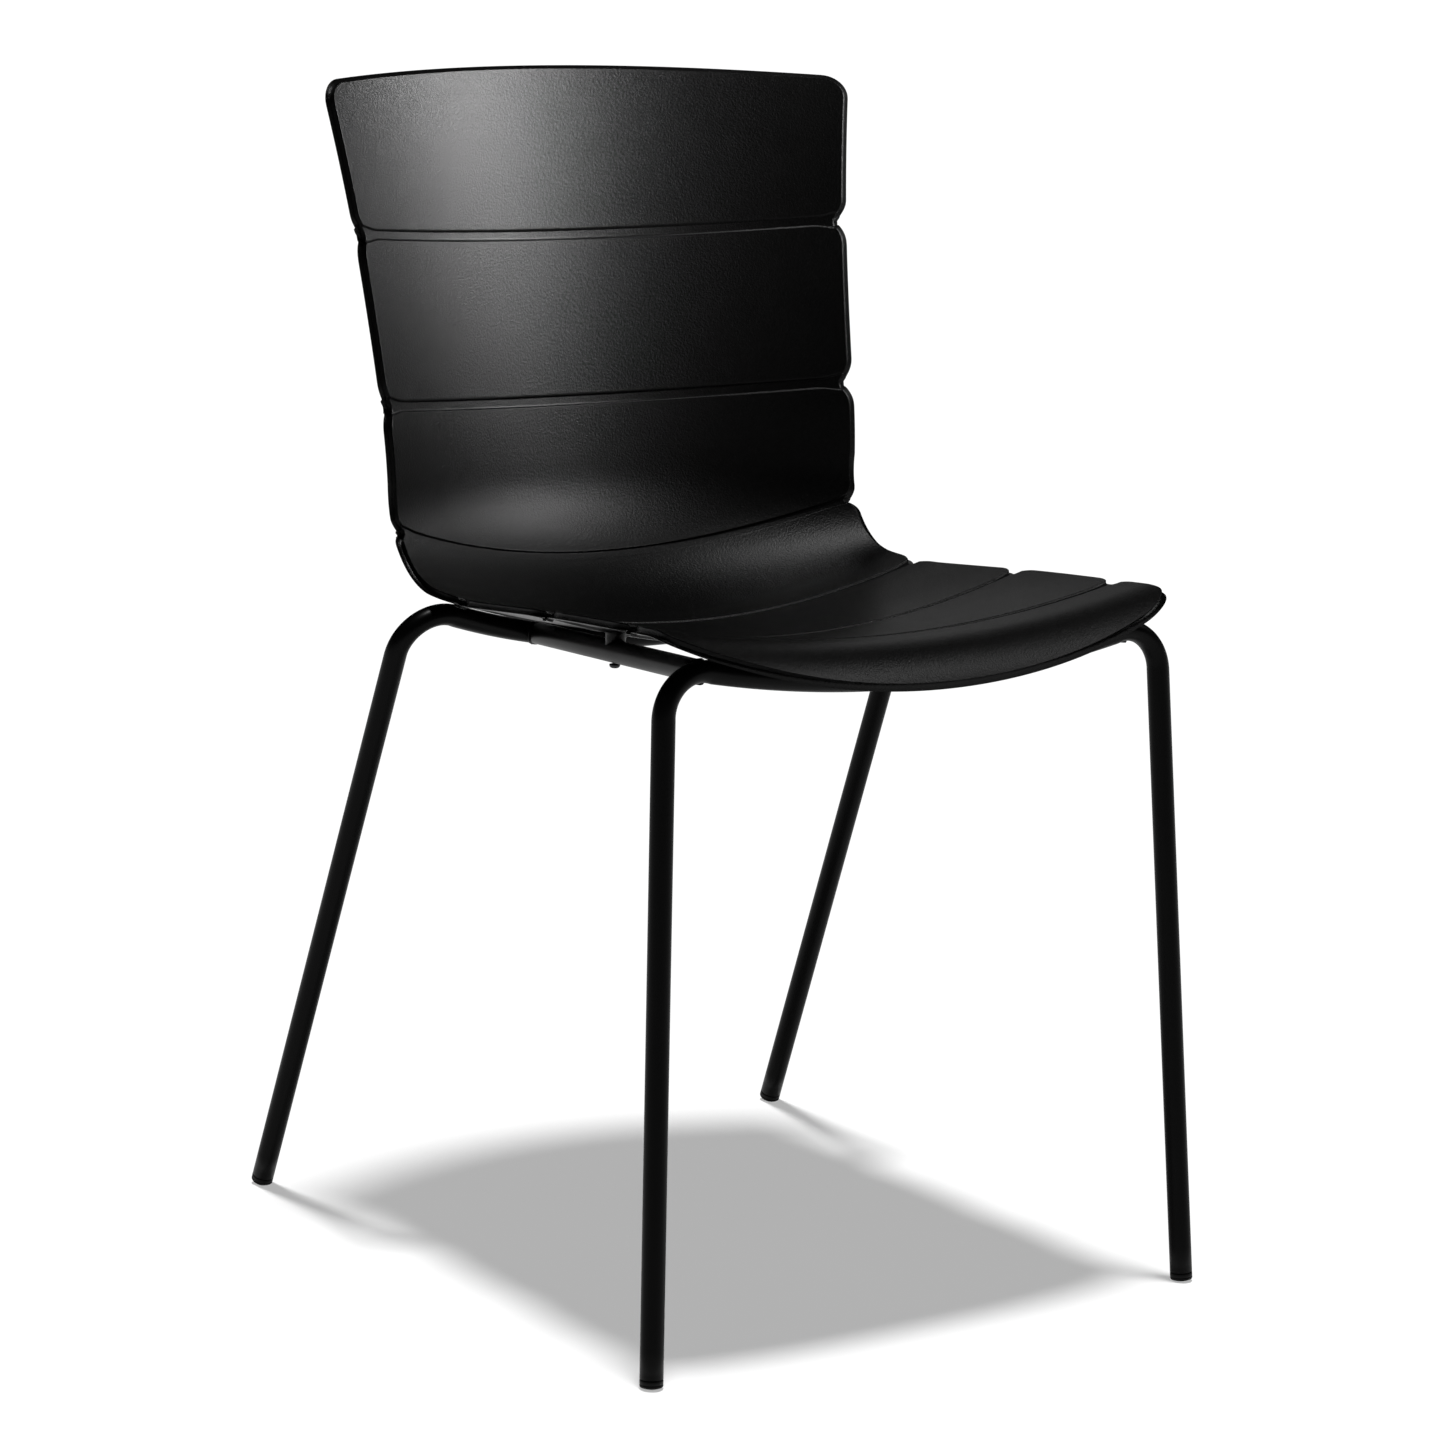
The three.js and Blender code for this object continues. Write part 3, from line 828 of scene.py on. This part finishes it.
zinc = Finish("black_zinc", Metallic=0.85, Specular_IOR_Level=0.5)
brushed = zinc.grain(1800, detail=2.0)
film = zinc.grain(240, detail=3.0)
zinc_edges = zinc.edges()
zinc.feed("Base Color", zinc.colours(film + zinc_edges * 0.3, (0.012, 0.012, 0.013), (0.035, 0.035, 0.037)))
zinc.feed("Roughness", zinc.between(film, 0.28, 0.42))
zinc.relief(brushed, 0.00003, 0.6)

for end_name in ("front", "rear"):
    for side_name, side in (("left", -1), ("right", 1)):
        name = "%s_%s" % (end_name, side_name)
        low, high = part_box(name + "_screw")
        axis_x, axis_y = (low.x + high.x) / 2, (low.y + high.y) / 2
        under_head = low.z + head_height
        vertices = []
        levels = [("hex", socket_half, low.z + socket_depth), ("hex", socket_half, low.z + 0.0001)]
        levels.append(("round", socket_half * 1.45, low.z))
        for k in range(1, 9):
            angle = math.pi / 2 * k / 8
            inner = socket_half * 1.45
            radius = inner + (head_radius - inner) * math.sin(angle)
            levels.append(("round", radius, low.z + head_height * 0.8 * (1 - math.cos(angle))))
        levels += [("round", head_radius, under_head - 0.0001), ("round", head_radius - 0.0001, under_head)]
        levels.append(("round", shank_radius, under_head))
        turns = int((high.z - under_head - 0.0005) / thread_pitch)
        for k in range(turns):
            base = under_head + k * thread_pitch
            levels.append(("round", shank_radius, base + thread_pitch * 0.45))
            levels.append(("round", shank_radius - 0.0003, base + thread_pitch * 0.95))
        levels.append(("round", shank_radius - 0.0004, high.z))
        for shape, radius, z in levels:
            for j in range(screw_turns):
                angle = 2 * math.pi * j / screw_turns
                reach = radius
                if shape == "hex":
                    sixth = math.pi / 3
                    reach = radius / math.cos((angle % sixth) - sixth / 2)
                x = axis_x + reach * math.cos(angle)
                y = axis_y + reach * math.sin(angle)
                vertices.append(Vector((x, y, z)))
        faces = loops_to_faces(len(levels), screw_turns)
        faces.append(tuple(range(screw_turns)))
        faces.append(tuple(range(len(vertices) - screw_turns, len(vertices))))
        screw = show(name + "_button_screw", vertices, faces, zinc)
        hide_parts(name + "_screw")

# Inserts --------------------------------------------------------------------
# Short turned brass sleeves, knurled outside and pressed hot into the bosses.

brass = Finish("turned_brass", Metallic=1.0)
turned_lines = brass.node(
    "ShaderNodeTexWave",
    {"bands_direction": "Z"},
    {"Vector": brass.place, "Scale": 900.0, "Distortion": 2.0, "Detail": 2.0},
)
tarnish = brass.grain(320, detail=4.0)
brass.feed("Base Color", brass.colours(tarnish, (0.42, 0.27, 0.09), (0.62, 0.44, 0.17)))
brass.feed("Roughness", brass.between(tarnish, 0.25, 0.45))
brass.relief(turned_lines * 0.7 + tarnish * 0.3, 0.00005, 0.7)
for name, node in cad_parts.items():
    if name.endswith("_insert"):
        for held in node.material_slots:
            held.material = brass.material

# Floor and light ------------------------------------------------------------
# A plain pale studio floor before white surroundings. High soft light from straight above,
# a second lamp for the floor alone, and three soft panels on the chair's right that reach
# only the chair.

floor_reach = 60.0
floor_mesh = bpy.data.meshes.new("floor")
floor_corners = [(-floor_reach, -floor_reach, 0), (floor_reach, -floor_reach, 0)]
floor_corners += [(floor_reach, floor_reach, 0), (-floor_reach, floor_reach, 0)]
floor_mesh.from_pydata(floor_corners, [], [(0, 1, 2, 3)])
floor = bpy.data.objects.new("floor", floor_mesh)
bpy.context.scene.collection.objects.link(floor)
paper = Finish("floor_paper", Specular_IOR_Level=0.0)
paper_cloud = paper.grain(3, detail=2.0)
paper.feed("Base Color", paper.colours(paper_cloud, (0.80, 0.80, 0.80), (0.81, 0.81, 0.81)))
paper.shader.inputs["Roughness"].default_value = 0.9
floor_mesh.materials.append(paper.material)


def hang(name, kind, energy, place, target):
    """Hangs a light that looks from a place at a target."""
    light = bpy.data.lights.new(name, kind)
    light.energy = energy
    lamp = bpy.data.objects.new(name, light)
    lamp.location = place
    lamp.rotation_mode = "QUATERNION"
    lamp.rotation_quaternion = (Vector(target) - Vector(place)).to_track_quat("-Z", "Y")
    bpy.context.scene.collection.objects.link(lamp)
    return lamp


def only_for(lamp, name, objects):
    """Keeps a light to some of the objects."""
    group = bpy.data.collections.new(name)
    for item in objects:
        group.objects.link(item)
    lamp.light_linking.receiver_collection = group


def hang_panel(name, power, place, target, width, height):
    """Hangs a rectangular panel that lights only the chair."""
    lamp = hang(name, "AREA", power, place, target)
    lamp.data.shape = "RECTANGLE"
    lamp.data.size = width
    lamp.data.size_y = height
    only_for(lamp, name + "_reach", chair_pieces)
    return lamp


chair_pieces = [o for o in bpy.context.scene.objects if o.type == "MESH" and o != floor]

top_light = hang("top_light", "SUN", 2.45, (0.02, 0.02, 3.0), (0.0, 0.0, 0.0))
top_light.data.angle = math.radians(6.5)

floor_light = hang("floor_light", "SUN", 1.70, (0.0, 0.0, 3.0), (0.0, 0.01, 0.0))
floor_light.data.use_shadow = False
only_for(floor_light, "floor_light_reach", [floor])

side_panel = hang_panel("side_panel", 2.9, (0.88, -0.47, 1.13), (-0.06, 0.24, 0.87), 0.24, 0.20)
side_panel.data.spread = math.radians(44)
hang_panel("high_panel", 7.0, (1.05, -0.42, 1.52), (0.0, -0.12, 0.47), 0.60, 0.60)
hang_panel("rear_panel", 0.5, (1.26, 1.35, 0.97), (0.0, -0.15, 0.47), 0.70, 0.70)

world_strength = 0.009  # as a light; the camera sees the surroundings at full white
world = bpy.data.worlds.new("studio")
world.use_nodes = True
sky_tree = world.node_tree
backdrop = sky_tree.nodes["Background"]
backdrop.inputs["Color"].default_value = (1, 1, 1, 1)
backdrop.inputs["Strength"].default_value = 1.0
dim = sky_tree.nodes.new("ShaderNodeBackground")
dim.inputs["Strength"].default_value = world_strength
path = sky_tree.nodes.new("ShaderNodeLightPath")
either = sky_tree.nodes.new("ShaderNodeMixShader")
sky_tree.links.new(path.outputs["Is Camera Ray"], either.inputs[0])
sky_tree.links.new(dim.outputs[0], either.inputs[1])
sky_tree.links.new(backdrop.outputs[0], either.inputs[2])
sky_tree.links.new(either.outputs[0], sky_tree.nodes["World Output"].inputs["Surface"])
bpy.context.scene.world = world
bpy.context.scene.view_settings.view_transform = "Standard"
